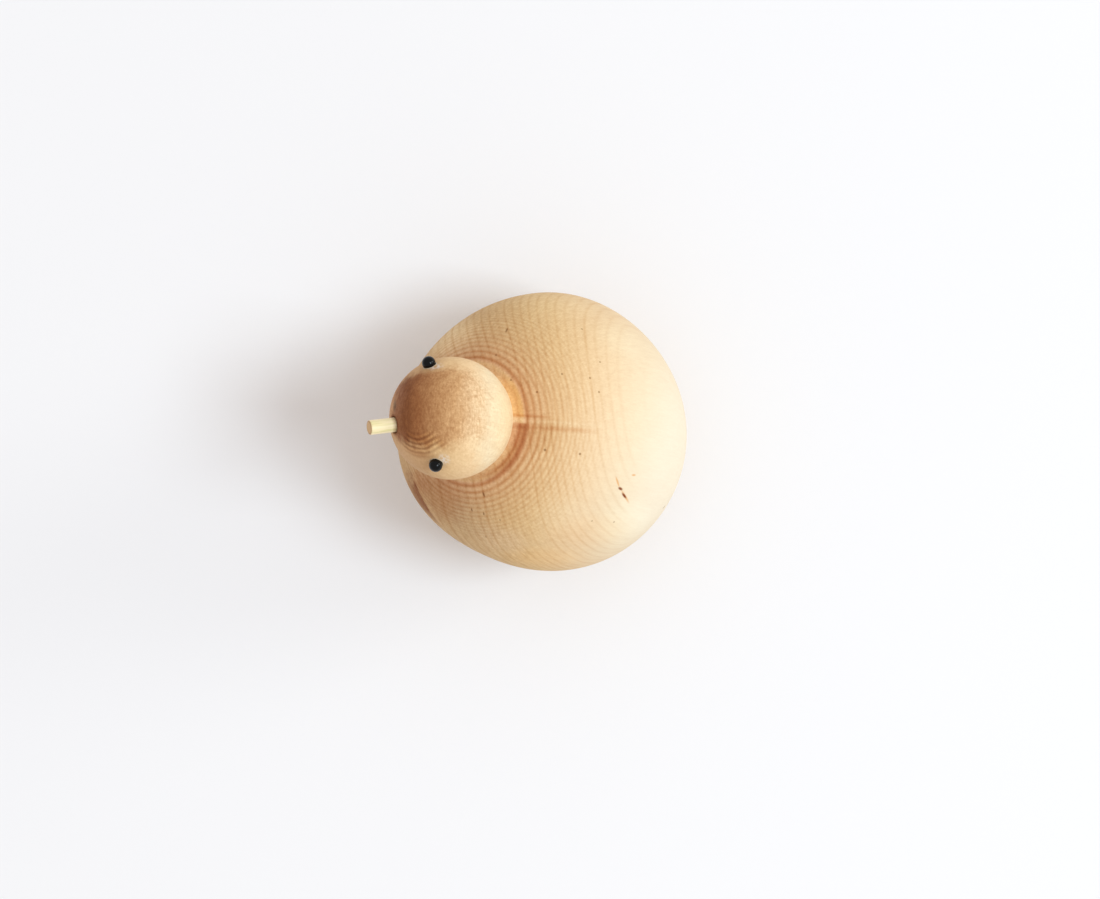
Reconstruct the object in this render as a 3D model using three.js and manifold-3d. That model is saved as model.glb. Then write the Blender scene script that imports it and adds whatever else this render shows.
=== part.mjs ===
// A small wooden bird, turned in one piece: a round body that swells into full
// shoulders, a short waisted neck and a ball for the head. The turning axis
// leans forward, so the bird looks ahead, and a flat is cut under the body for
// it to stand on. A bit of bamboo skewer is glued into a hole for the beak,
// and two black beads are glued into shallow seats for the eyes.
//
// Millimetres, +Z up. The origin is the middle of the flat underneath. The
// bird faces -X, its left side is -Y.

import * as THREE from 'three';
import { mergeVertices } from 'three/addons/utils/BufferGeometryUtils.js';
import Module from 'manifold-3d';

// body
const BALL_R = 32.9; // radius of the round body
const BALL_H = 29.5; // height of the ball's middle over the flat
const SWELL = 2.4; // how far the shoulders stand out beyond the ball
const SWELL_FROM = 10; // degrees above the ball's equator where the swelling starts
const SWELL_TO = 53; // degrees where it is full

// turning axis
const LEAN = 31; // degrees from upright
const LEAN_TURN = 172; // degrees in plan, from +X, that it leans towards

// hand sanding took a little off all round, more on one side, and left the
// body a little out of round
// lobes around the body, height in mm, degrees in plan of one crest
const OUT_OF_ROUND = [
  { lobes: 0, height: -0.19, crest: 0 },
  { lobes: 1, height: 0.24, crest: 336 },
  { lobes: 2, height: 0.22, crest: 5 },
  { lobes: 3, height: 0.42, crest: 197 },
  { lobes: 4, height: 0.2, crest: 187 },
];
const SANDED_TO = [0.7, 1]; // the lobes fade out between these shares of the body's radius, up the axis

// neck and head
const HEAD_R = 13.6; // radius of the head
const HEAD_ALONG = 41.1; // from the ball's middle to the head's, on the axis
const NECK_COVE_R = 1.1; // radius of the small hollow between shoulder and head

// beak
const BEAK_D = 3.25; // skewer
const BEAK_OUT = 5.7; // length outside the head
const BEAK_IN = 6.0; // length inside the hole
const BEAK_EDGE = 0.3; // bevel of the cut end
const BEAK_TURN = 187; // degrees in plan
const BEAK_RISE = 23.5; // degrees above level

// eyes
const EYE_D = 3;
const EYE_PROUD = 0.6; // bead's middle outside the head's surface
const LEFT_EYE = { turn: 254.3, rise: 40.9 };
const RIGHT_EYE = { turn: 110.8, rise: 24.9 };

const GLUE_GAP = 0.3; // room for glue around the skewer and the beads

// fineness of the faceting
const BODY_SIDES = 88;
const BALL_STEPS = 27;
const COVE_STEPS = 4;
const HEAD_STEPS = 14;
const ROD_SIDES = 28;
const BEAD_SIDES = 20;
const BEAD_STEPS = 12;

const HALVINGS = 40; // enough to place the cove exactly
const SAME_POINT = 1e-4; // closer points are one

const rad = (degrees) => THREE.MathUtils.degToRad(degrees);

// unit vector from its direction in plan and its rise above level, in degrees
function heading(turn, rise) {
  const level = Math.cos(rad(rise));
  return new THREE.Vector3(
    level * Math.cos(rad(turn)), level * Math.sin(rad(turn)), Math.sin(rad(rise)));
}

const ballMiddle = new THREE.Vector3(0, 0, BALL_H);
const turningAxis = heading(LEAN_TURN, 90 - LEAN);
const headMiddle = ballMiddle.clone().addScaledVector(turningAxis, HEAD_ALONG);

// Distance from the ball's middle to the body's surface, at an angle above
// the equator: the ball's radius, rising smoothly to the full shoulder.
function bodyReach(angle) {
  return BALL_R + SWELL * THREE.MathUtils.smoothstep(angle, rad(SWELL_FROM), rad(SWELL_TO));
}

// Middle of the small circle that touches both the shoulder and the head from
// outside: where the body's surface, moved out by the cove's radius, meets the
// head's, moved out as much. Found by halving the angle above the equator.
function findCove() {
  let low = rad(SWELL_TO), high = rad(90);
  for (let step = 0; step < HALVINGS; step++) {
    const angle = (low + high) / 2;
    const reach = bodyReach(angle) + NECK_COVE_R;
    const toHead = Math.hypot(reach * Math.cos(angle), reach * Math.sin(angle) - HEAD_ALONG);
    if (toHead > HEAD_R + NECK_COVE_R) low = angle; else high = angle;
  }
  const reach = bodyReach(low) + NECK_COVE_R;
  return { angle: low, r: reach * Math.cos(low), along: reach * Math.sin(low) };
}

// Half section of the turned piece, from the pole under the body to the crown
// of the head, as points (radius, distance along the axis).
function turnedProfile() {
  const cove = findCove();
  const points = [];
  for (let i = 0; i <= BALL_STEPS; i++) {
    const angle = THREE.MathUtils.lerp(rad(-90), cove.angle, i / BALL_STEPS);
    const reach = bodyReach(angle);
    points.push(new THREE.Vector2(reach * Math.cos(angle), reach * Math.sin(angle)));
  }
  // the cove turns from facing the ball's middle to facing the head's
  const fromBall = Math.atan2(-cove.along, -cove.r);
  const fromHead = Math.atan2(HEAD_ALONG - cove.along, -cove.r) - 2 * Math.PI;
  for (let i = 1; i <= COVE_STEPS; i++) {
    const angle = THREE.MathUtils.lerp(fromBall, fromHead, i / COVE_STEPS);
    points.push(new THREE.Vector2(
      cove.r + NECK_COVE_R * Math.cos(angle), cove.along + NECK_COVE_R * Math.sin(angle)));
  }
  const start = Math.atan2(cove.along - HEAD_ALONG, cove.r);
  for (let i = 1; i <= HEAD_STEPS; i++) {
    const angle = THREE.MathUtils.lerp(start, rad(90), i / HEAD_STEPS);
    points.push(new THREE.Vector2(
      HEAD_R * Math.cos(angle), HEAD_ALONG + HEAD_R * Math.sin(angle)));
  }
  points[0].x = 0;
  points[points.length - 1].x = 0;
  return points;
}

// A profile turned about an axis that leaves `from` in the direction `along`.
function turned(profile, sides, from, along) {
  const geometry = new THREE.LatheGeometry(profile, sides);
  geometry.deleteAttribute('normal');
  geometry.deleteAttribute('uv');
  const lean = new THREE.Quaternion().setFromUnitVectors(new THREE.Vector3(0, 1, 0), along);
  geometry.applyQuaternion(lean);
  geometry.translate(from.x, from.y, from.z);
  return mergeVertices(geometry, SAME_POINT);
}

// Moves the body's surface in and out, level, by the lobes left by sanding.
// The movement fades towards the top and bottom and is gone at the neck.
function sandOutOfRound(geometry) {
  const place = geometry.attributes.position;
  const point = new THREE.Vector3();
  for (let i = 0; i < place.count; i++) {
    point.fromBufferAttribute(place, i).sub(ballMiddle);
    const level = Math.hypot(point.x, point.y);
    const turn = Math.atan2(point.y, point.x);
    const belowNeck = 1 - THREE.MathUtils.smoothstep(
      point.dot(turningAxis), SANDED_TO[0] * BALL_R, SANDED_TO[1] * BALL_R);
    let out = 0;
    for (const { lobes, height, crest } of OUT_OF_ROUND) {
      out += height * Math.cos(lobes * (turn - rad(crest)));
    }
    out *= belowNeck * level / point.length();
    place.setXY(i, place.getX(i) + out * Math.cos(turn), place.getY(i) + out * Math.sin(turn));
  }
  return geometry;
}

// A round rod, its far end bevelled by `edge` where that is more than nothing.
function rod(radius, length, edge, from, along) {
  const profile = [new THREE.Vector2(0, 0), new THREE.Vector2(radius, 0)];
  if (edge > 0) profile.push(new THREE.Vector2(radius, length - edge));
  profile.push(new THREE.Vector2(radius - edge, length), new THREE.Vector2(0, length));
  return turned(profile, ROD_SIDES, from, along);
}

// A ball, with its poles on the line that leaves `middle` in the direction `along`.
function bead(radius, middle, along) {
  const profile = [];
  for (let i = 0; i <= BEAD_STEPS; i++) {
    const angle = rad(-90 + 180 * i / BEAD_STEPS);
    profile.push(new THREE.Vector2(
      i % BEAD_STEPS ? radius * Math.cos(angle) : 0, radius * Math.sin(angle)));
  }
  return turned(profile, BEAD_SIDES, middle, along);
}

const wasm = await Module();
wasm.setup();

function toSolid(geometry) {
  return new wasm.Manifold(new wasm.Mesh({
    numProp: 3,
    vertProperties: new Float32Array(geometry.attributes.position.array),
    triVerts: new Uint32Array(geometry.index.array),
  }));
}

function toGeometry(solid) {
  const mesh = solid.getMesh();
  const geometry = new THREE.BufferGeometry();
  geometry.setAttribute('position', new THREE.BufferAttribute(mesh.vertProperties, 3));
  geometry.setIndex(new THREE.BufferAttribute(mesh.triVerts, 1));
  geometry.computeVertexNormals();
  return geometry;
}

const beakAlong = heading(BEAK_TURN, BEAK_RISE);
const beakRoot = headMiddle.clone().addScaledVector(beakAlong, HEAD_R - BEAK_IN);
const eyeMiddle = (eye) => headMiddle.clone()
  .addScaledVector(heading(eye.turn, eye.rise), HEAD_R + EYE_PROUD);

// The turned piece, with the flat cut under it, the hole drilled for the beak
// and a round seat sunk for each bead.
function makeBody() {
  const wood = toSolid(sandOutOfRound(
    turned(turnedProfile(), BODY_SIDES, ballMiddle, turningAxis)));
  const width = 4 * BALL_R;
  const below = toSolid(mergeVertices(new THREE.BoxGeometry(width, width, BALL_R)
    .deleteAttribute('normal').deleteAttribute('uv').translate(0, 0, -BALL_R / 2)));
  const holeBottom = beakRoot.clone().addScaledVector(beakAlong, -GLUE_GAP);
  const hole = toSolid(rod(
    BEAK_D / 2 + GLUE_GAP, BEAK_IN + BEAK_OUT, 0, holeBottom, beakAlong));
  const seats = [LEFT_EYE, RIGHT_EYE].map((eye) => toSolid(
    bead(EYE_D / 2 + GLUE_GAP, eyeMiddle(eye), heading(eye.turn, eye.rise))));
  return toGeometry(wood.subtract(below).subtract(hole)
    .subtract(seats[0]).subtract(seats[1]));
}

function piece(name, geometry, color, roughness) {
  const material = new THREE.MeshStandardMaterial({ color, roughness, metalness: 0 });
  const mesh = new THREE.Mesh(geometry, material);
  mesh.name = name;
  return mesh;
}

const bird = new THREE.Group();
bird.name = 'wooden_bird';
bird.add(piece('body', makeBody(), 0xe0b784, 0.6));
bird.add(piece('beak', rod(
  BEAK_D / 2, BEAK_IN + BEAK_OUT, BEAK_EDGE, beakRoot, beakAlong), 0xefdcb0, 0.65));
for (const [name, eye] of [['left_eye', LEFT_EYE], ['right_eye', RIGHT_EYE]]) {
  bird.add(piece(name, bead(
    EYE_D / 2, eyeMiddle(eye), heading(eye.turn, eye.rise)), 0x0b0c10, 0.15));
}

export default bird;
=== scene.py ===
import math

import bpy
import numpy as np
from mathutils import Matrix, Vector


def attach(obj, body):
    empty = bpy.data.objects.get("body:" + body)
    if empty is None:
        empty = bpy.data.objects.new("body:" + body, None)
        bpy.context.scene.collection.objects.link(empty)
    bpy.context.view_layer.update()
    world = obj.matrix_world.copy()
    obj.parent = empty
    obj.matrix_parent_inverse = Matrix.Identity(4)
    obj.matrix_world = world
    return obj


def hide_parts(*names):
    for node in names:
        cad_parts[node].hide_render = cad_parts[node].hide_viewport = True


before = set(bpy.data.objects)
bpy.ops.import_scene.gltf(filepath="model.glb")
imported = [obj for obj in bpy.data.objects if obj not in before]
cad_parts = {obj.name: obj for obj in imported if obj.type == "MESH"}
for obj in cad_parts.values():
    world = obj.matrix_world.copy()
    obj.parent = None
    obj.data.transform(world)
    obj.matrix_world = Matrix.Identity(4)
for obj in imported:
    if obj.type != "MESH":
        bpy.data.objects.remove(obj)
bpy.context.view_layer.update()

# A small wooden bird: body, neck and head turned in one piece about an axis
# that leans forward, a bit of bamboo skewer for the beak, two black beads for
# the eyes and the glue that holds them. Sizes are in millimetres and angles in
# degrees. Those of the turned piece, the beak and the beads are the ones the
# solids were made to. The bird faces -X.

MM = 0.001

# turned body and head
BALL_R = 32.9
BALL_H = 29.5
SWELL = 2.4
SWELL_FROM = 10.0
SWELL_TO = 53.0
LEAN = 31.0
LEAN_TURN = 172.0
HEAD_R = 13.6
HEAD_ALONG = 41.1
NECK_COVE_R = 1.1
FLAT_EASE = 0.35

# out of round from sanding: lobes round the body, their height, and the
# direction in plan of one crest. They fade out between two shares of the
# body's radius, up the axis.
OUT_OF_ROUND = (
    (0, -0.19, 0.0),
    (1, 0.24, 336.0),
    (2, 0.22, 5.0),
    (3, 0.42, 197.0),
    (4, 0.2, 187.0),
)
SANDED_TO = (0.7, 1.0)

# tool marks round the shoulder: the step between cuts far from the neck, how
# many cuts the wider steps at the neck save, how soon the steps settle, and
# how far into its step the first cut lies
MARK_STEP = 0.92
MARK_SPARE = 3.655
MARK_FADE = 5.49
MARK_FIRST = 0.083

# the same marks as shape: their depth, how far from the neck they are full,
# and between which distances they run out
TOOL_DEPTH = 0.035
TOOL_STARTS = 0.6
TOOL_ENDS = (5.0, 22.0)

# beak, and how far in and back its cut end is eased
BEAK_D = 3.25
BEAK_OUT = 5.7
BEAK_IN = 6.0
BEAK_TURN = 187.0
BEAK_RISE = 23.5
BEAK_EASE_IN, BEAK_EASE_BACK = 0.3, 0.35

# the beak's hole: width, depth, how deep its straight wall goes, and the
# chamfer of its rim, from below the head's surface to above it and outwards.
# The shape that cuts it ends clear of the surface.
BEAK_HOLE_D = 3.75
HOLE_DEPTH, HOLE_STRAIGHT = 4.0, 3.4
CHAMFER_BELOW, CHAMFER_ABOVE, CHAMFER_OUT = 0.35, 0.4, 0.5
HOLE_CLEAR = 1.0

# eyes and their seats
EYE_D = 3.0
EYE_PROUD = 0.6
EYE_SEAT_D = 3.3
LEFT_EYE = (254.3, 40.9)
RIGHT_EYE = (110.8, 24.9)

# glue round a bead: how far outside the bead its ring lies, and how thick it is
GLUE_OUTSIDE, GLUE_THICK = 0.08, 0.1

# how the ring wanders, in millimetres, and thickens, by share: waves round
# it, their height, and by how many seeds they are turned
GLUE_WANDERS = ((2, 0.05, 1), (5, 0.03, 2))
GLUE_THICKENS = ((3, 0.3, 1), (7, 0.15, 0))

# fineness: sides round an axis, and points or steps along each stretch of a
# profile. The body's is finer within NEAR_NECK degrees of the neck.
BIRD_SIDES, BODY_POINTS, COVE_POINTS, HEAD_POINTS = 256, 160, 16, 96
NEAR_NECK, NEAR_NECK_POINTS = 22.0, 84
HOLE_SIDES = 48
SEAT_SIDES, SEAT_STEPS = 40, 24
BEAK_SIDES, BEAK_POINTS, BEAK_END_POINTS = 56, 24, 7
BEAD_SIDES, BEAD_STEPS = 64, 40
GLUE_SIDES, GLUE_SECTION = 72, 12
COVE_HALVINGS = 40

# rings on the flat of the beak's cut end, as shares of its radius
BEAK_END_RINGS = (0.6, 0.3)

# a fold between two faces is sharp from this angle, and the flat's easing is
# worked out up to so many times its own size from the edge
SHARP = 35.0
EASE_REACHES = 20.0

# photograph, taken from straight above
PHOTO_W, PHOTO_H = 1100, 899
BALL_PIXEL = (545.8, 432.6)
FOCAL_PIXELS = 2554.0
CAMERA_OVER_BALL = 600.0
SENSOR_W = 36.0

# a pixel's ray is followed down from this height over the ball's middle, in
# so many steps
SEEN_FROM, SEEN_STEPS = 60.0, 12000

# the log: a point of its pith, from the ball's middle, and the way the pith
# and the fibres run
PITH_POINT = (-52.05, -10.72, 0.0)
PITH_ALONG = (-0.652, 0.154, 1.0)

# the growth rings wave: how far, by products of the place in spans
WAVE_SPAN = 30.0
WAVE_XY, WAVE_YZ, WAVE_ZZ = -1.51, -1.44, -0.82

# years counted from the pith: by the depth and by its square
YEARS_BY_DEPTH, YEARS_BY_SQUARE = -0.21, 0.0075

# the floor, from its middle to an edge, in metres
FLOOR_HALF = 3.0


def unit(v):
    """The vector divided by its own length."""
    v = np.asarray(v, float)
    return v / np.linalg.norm(v)


def heading(turn, rise):
    """Unit vector from its direction in plan and its rise above level, in degrees."""
    turn, rise = math.radians(turn), math.radians(rise)
    return np.array([math.cos(rise) * math.cos(turn), math.cos(rise) * math.sin(turn), math.sin(rise)])


def smooth(low, high, x):
    """0 below low, 1 above high, and the curve 3t^2 - 2t^3 between."""
    t = np.clip((x - low) / (high - low), 0.0, 1.0)
    return t * t * (3.0 - 2.0 * t)


BALL = np.array([0.0, 0.0, BALL_H])
AXIS = heading(LEAN_TURN, 90.0 - LEAN)
HEAD = BALL + HEAD_ALONG * AXIS
PITH = unit(PITH_ALONG)
EYES = {"left": LEFT_EYE, "right": RIGHT_EYE}


def square_to(along):
    """Two unit vectors square to `along` and to each other."""
    side = unit(np.cross(along, (0.0, 0.0, 1.0)))
    return side, np.cross(along, side)


def body_reach(angle):
    """Ball's radius, swelling smoothly to the full shoulder above the equator."""
    return BALL_R + SWELL * smooth(math.radians(SWELL_FROM), math.radians(SWELL_TO), angle)


def find_cove():
    """Where a small circle touches both shoulder and head from outside.

    Its middle is where the shoulder and the head, both moved out by the
    circle's radius, cross; found by halving the angle above the equator.
    """
    low, high = math.radians(SWELL_TO), math.radians(90.0)
    for _ in range(COVE_HALVINGS):
        angle = 0.5 * (low + high)
        reach = body_reach(angle) + NECK_COVE_R
        to_head = math.hypot(reach * math.cos(angle), reach * math.sin(angle) - HEAD_ALONG)
        low, high = (angle, high) if to_head > HEAD_R + NECK_COVE_R else (low, angle)
    reach = body_reach(low) + NECK_COVE_R
    return low, reach * math.cos(low), reach * math.sin(low)


COVE_ANGLE, COVE_R, COVE_ALONG = find_cove()


def turned_profile():
    """Half section of the bird: (radius, distance along the axis), pole to crown.

    An arc of the body in even steps, finer near the neck where the tool left
    its widest marks, then the cove's arc, then the head's arc. The marks are
    cut straight in towards the ball's middle.
    """
    near_neck = COVE_ANGLE - math.radians(NEAR_NECK)
    angle = np.r_[np.linspace(-0.5 * math.pi, near_neck, BODY_POINTS, endpoint=False),
                  np.linspace(near_neck, COVE_ANGLE, NEAR_NECK_POINTS)]
    out = (COVE_ANGLE - angle) * BALL_R
    marks = TOOL_DEPTH * tool_cut(out) * smooth(0.0, TOOL_STARTS, out)
    ray = np.stack([np.cos(angle), np.sin(angle)], 1)
    body = body_reach(angle)[:, None] * ray - marks[:, None] * ray
    from_ball = math.atan2(-COVE_ALONG, -COVE_R)
    from_head = math.atan2(HEAD_ALONG - COVE_ALONG, -COVE_R) - 2.0 * math.pi
    turn = np.linspace(from_ball, from_head, COVE_POINTS)[1:]
    cove = np.stack([COVE_R + NECK_COVE_R * np.cos(turn), COVE_ALONG + NECK_COVE_R * np.sin(turn)], 1)
    start = math.atan2(COVE_ALONG - HEAD_ALONG, COVE_R)
    angle = np.linspace(start, 0.5 * math.pi, HEAD_POINTS)[1:]
    head = np.stack([HEAD_R * np.cos(angle), HEAD_ALONG + HEAD_R * np.sin(angle)], 1)
    return np.concatenate([body, cove, head])


def tool_cut(out):
    """Scalloped cuts: 1 in the middle of a cut and 0 on the ridge, at `out` from the neck.

    The count of cuts grows as out / step, less what the wider steps at the
    neck take off it.
    """
    count = out / MARK_STEP - MARK_SPARE * (1.0 - np.exp(-out / MARK_FADE)) - MARK_FIRST
    return np.cos(math.pi * count) ** 2 * (1.0 - smooth(*TOOL_ENDS, out))


def surface_of_turning(profile, sides, origin, along):
    """Grid of points: each profile row turned about the axis through `origin`.

    point = origin + distance * axis + radius * (cos(turn) * one side +
    sin(turn) * the other), with the first and last rows as single poles.
    """
    one, other = square_to(along)
    turn = np.arange(sides) * (2.0 * math.pi / sides)
    ring = np.cos(turn)[:, None] * one + np.sin(turn)[:, None] * other
    radius, distance = profile[1:-1, 0], profile[1:-1, 1]
    rows = origin + distance[:, None, None] * along + radius[:, None, None] * ring
    ends = origin + profile[[0, -1], 1][:, None] * along
    return np.concatenate([ends[:1], rows.reshape(-1, 3), ends[1:]])


def faces_of_turning(count, sides):
    """Faces of a closed surface of turning: a fan at each pole and quads between."""
    rows = (count - 2) // sides
    base = 1 + np.arange(rows * sides).reshape(rows, sides)
    nxt = np.roll(base, -1, 1)
    quads = np.stack([base[:-1], nxt[:-1], nxt[1:], base[1:]], -1).reshape(-1, 4)
    low = np.stack([np.zeros(sides, int), nxt[0], base[0]], -1)
    high = np.stack([np.full(sides, count - 1), base[-1], nxt[-1]], -1)
    return low.tolist() + quads.tolist() + high.tolist()


def make_piece(name, points_mm, faces):
    """A smooth-shaded piece from points in millimetres.

    If a face looks towards the middle of the points, all faces are turned round.
    """
    mesh = bpy.data.meshes.new(name)
    mesh.from_pydata((points_mm * MM).tolist(), [], faces)
    mesh.validate()
    piece = bpy.data.objects.new(name, mesh)
    bpy.context.collection.objects.link(piece)
    middle = points_mm.mean(0) * MM
    face = mesh.polygons[len(mesh.polygons) // 2]
    if face.normal.dot(face.center - Vector(middle)) < 0.0:
        mesh.flip_normals()
    mesh.shade_smooth()
    return piece


def turned_piece(name, profile, sides, origin, along, shape=None):
    """A piece turned from its profile; `shape` may then move its points."""
    points = surface_of_turning(np.asarray(profile, float), sides, origin, along)
    if shape is not None:
        points = shape(points)
    return make_piece(name, points, faces_of_turning(len(points), sides))


def sanding(rel):
    """How far sanding moved each point, level, in or out.

    The lobes' cosines about the upright, fading at the neck and towards top
    and bottom.
    """
    level = np.hypot(rel[:, 0], rel[:, 1])
    turn = np.arctan2(rel[:, 1], rel[:, 0])
    below_neck = 1.0 - smooth(SANDED_TO[0] * BALL_R, SANDED_TO[1] * BALL_R, rel @ AXIS)
    out = sum(h * np.cos(n * (turn - math.radians(crest))) for n, h, crest in OUT_OF_ROUND)
    out = out * below_neck * level / np.linalg.norm(rel, axis=1)
    return np.stack([out * np.cos(turn), out * np.sin(turn), np.zeros(len(rel))], 1)


def sand_and_flatten(points):
    """Sanding's lobes, then the flat the bird stands on.

    A point below the flat moves back towards the ball's middle until it is
    on the flat, eased at its edge.
    """
    rel = points - BALL
    rel = rel + sanding(rel)
    room = BALL_H / np.maximum(-rel[:, 2], 1.0)
    ease = FLAT_EASE / BALL_R
    keep = 0.5 * (1.0 + room - np.sqrt((1.0 - room) ** 2 + ease * ease))
    below = rel[:, 2] < 0.0
    rel[below] *= np.where(room < 1.0 + EASE_REACHES * ease, keep, 1.0)[below, None]
    rel[:, 2] = np.maximum(rel[:, 2], -BALL_H)
    return rel + BALL


OVER = FOCAL_PIXELS / CAMERA_OVER_BALL
CAMERA = BALL + np.array([
    (PHOTO_W / 2 - BALL_PIXEL[0]) / OVER, (BALL_PIXEL[1] - PHOTO_H / 2) / OVER, CAMERA_OVER_BALL])


def seen(x, y):
    """Place on the bird under a pixel of the photograph, in mm from the ball's middle.

    The ray from the camera through the pixel is followed down in fine steps
    to its first point inside the head or the body.
    """
    way = np.array([(x - PHOTO_W / 2) / FOCAL_PIXELS, (PHOTO_H / 2 - y) / FOCAL_PIXELS, -1.0])
    down = np.linspace(CAMERA_OVER_BALL - SEEN_FROM, CAMERA_OVER_BALL, SEEN_STEPS + 1)
    ray = CAMERA - BALL + down[:, None] * way
    in_head = np.linalg.norm(ray - (HEAD - BALL), axis=1) < HEAD_R
    body = ray - sanding(ray)
    far = np.linalg.norm(body, axis=1)
    in_body = far < body_reach(np.arcsin(np.clip(body @ AXIS / far, -1.0, 1.0)))
    return ray[np.argmax(in_head | in_body)]


def ball_profile(radius, steps):
    """Half circle from pole to pole, in even steps."""
    angle = np.linspace(-0.5 * math.pi, 0.5 * math.pi, steps + 1)
    return np.stack([radius * np.cos(angle), radius * np.sin(angle)], 1)


def cut_away(piece, cutters):
    """Takes the cutters out of the piece, leaving clean round rims."""
    for cutter in cutters:
        cut = piece.modifiers.new("cut", "BOOLEAN")
        cut.operation = "DIFFERENCE"
        cut.solver = "EXACT"
        cut.object = cutter
    graph = bpy.context.evaluated_depsgraph_get()
    mesh = bpy.data.meshes.new_from_object(piece.evaluated_get(graph))
    piece.modifiers.clear()
    piece.data = mesh
    for cutter in cutters:
        bpy.data.objects.remove(cutter)
    mesh.set_sharp_from_angle(angle=math.radians(SHARP))
    return piece


beak_along = heading(BEAK_TURN, BEAK_RISE)
eye_along = {side: heading(*eye) for side, eye in EYES.items()}
eye_middle = {side: HEAD + (HEAD_R + EYE_PROUD) * eye_along[side] for side in EYES}


def make_bird():
    """The turned piece, with the beak's hole drilled and a seat sunk for each bead."""
    bird = turned_piece("turned_bird", turned_profile(), BIRD_SIDES, BALL, AXIS, sand_and_flatten)
    r = BEAK_HOLE_D / 2
    hole = [(0.0, HEAD_R - HOLE_DEPTH), (r, HEAD_R - HOLE_STRAIGHT), (r, HEAD_R - CHAMFER_BELOW),
            (r + CHAMFER_OUT, HEAD_R + CHAMFER_ABOVE), (0.0, HEAD_R + HOLE_CLEAR)]
    seat = ball_profile(EYE_SEAT_D / 2, SEAT_STEPS)
    cutters = [turned_piece("hole", hole, HOLE_SIDES, HEAD, beak_along)]
    cutters += [turned_piece("seat", seat, SEAT_SIDES, eye_middle[side], eye_along[side]) for side in EYES]
    return cut_away(bird, cutters)


def make_beak():
    """A skewer: a round rod, its cut end eased by a quarter of an oval."""
    r, root, end = BEAK_D / 2, HEAD_R - BEAK_IN, HEAD_R + BEAK_OUT
    profile = [(0.0, root), (r, root)]
    profile += [(r, d) for d in np.linspace(root, end - BEAK_EASE_BACK, BEAK_POINTS)[1:]]
    profile += [(r - BEAK_EASE_IN * (1 - math.cos(a)), end - BEAK_EASE_BACK + BEAK_EASE_BACK * math.sin(a))
                for a in np.linspace(0, math.pi / 2, BEAK_END_POINTS)[1:]]
    profile += [(r * share, end) for share in BEAK_END_RINGS] + [(0.0, end)]
    return turned_piece("skewer_beak", profile, BEAK_SIDES, HEAD, beak_along)


def make_bead(side):
    """A bead, its poles on the line from the head's middle through the eye."""
    profile = ball_profile(EYE_D / 2, BEAD_STEPS)
    return turned_piece(side + "_bead", profile, BEAD_SIDES, eye_middle[side], eye_along[side])


def waves(rows, turn, seed, start):
    """Start plus, for each row, its height times the cosine of its waves, turned by the seed."""
    return sum((height * np.cos(count * turn + seeds * seed) for count, height, seeds in rows), start)


def ring_of_glue(name, middle, along, reach, thick, seed):
    """A fillet of glue: a thin ring whose radius and thickness wander a little.

    point = middle + (reach + wander + thick * cos(section)) * round +
    thick * sin(section) * along, closed both ways.
    """
    one, other = square_to(along)
    turn = np.arange(GLUE_SIDES) * (2.0 * math.pi / GLUE_SIDES)
    section = np.arange(GLUE_SECTION) * (2.0 * math.pi / GLUE_SECTION)
    wander = waves(GLUE_WANDERS, turn, seed, 0.0)
    size = thick * waves(GLUE_THICKENS, turn, seed, 1.0)
    ring = np.cos(turn)[:, None] * one + np.sin(turn)[:, None] * other
    radius = reach + wander[:, None] + size[:, None] * np.cos(section)
    rise = size[:, None] * np.sin(section)
    points = middle + radius[..., None] * ring[:, None, :] + rise[..., None] * along
    index = np.arange(turn.size * section.size).reshape(turn.size, section.size)
    nxt, up = np.roll(index, -1, 0), np.roll(index, -1, 1)
    faces = np.stack([index, nxt, np.roll(nxt, -1, 1), up], -1).reshape(-1, 4)
    return make_piece(name, points.reshape(-1, 3), faces.tolist())


def make_eye_glue(side, seed):
    """Glue where the bead goes into the wood: a ring at the head's own surface."""
    reach = math.sqrt((0.5 * EYE_D) ** 2 - EYE_PROUD ** 2)
    middle = HEAD + math.sqrt(HEAD_R ** 2 - reach ** 2) * eye_along[side]
    return ring_of_glue(
        side + "_eye_glue", middle, eye_along[side], reach + GLUE_OUTSIDE, GLUE_THICK, seed)


class Wire:
    """A socket in a finish. Arithmetic on it adds Math nodes."""

    def __init__(self, finish, socket):
        self.finish = finish
        self.socket = socket

    def __add__(self, other):
        return self.finish.math("ADD", self, other)

    def __sub__(self, other):
        return self.finish.math("SUBTRACT", self, other)

    def __mul__(self, other):
        return self.finish.math("MULTIPLY", self, other)

    def __pow__(self, other):
        return self.finish.math("POWER", self, other)

    def __rsub__(self, other):
        return self.finish.math("SUBTRACT", other, self)

    def __neg__(self):
        return self.finish.math("MULTIPLY", self, -1.0)

    __radd__ = __add__
    __rmul__ = __mul__


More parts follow.
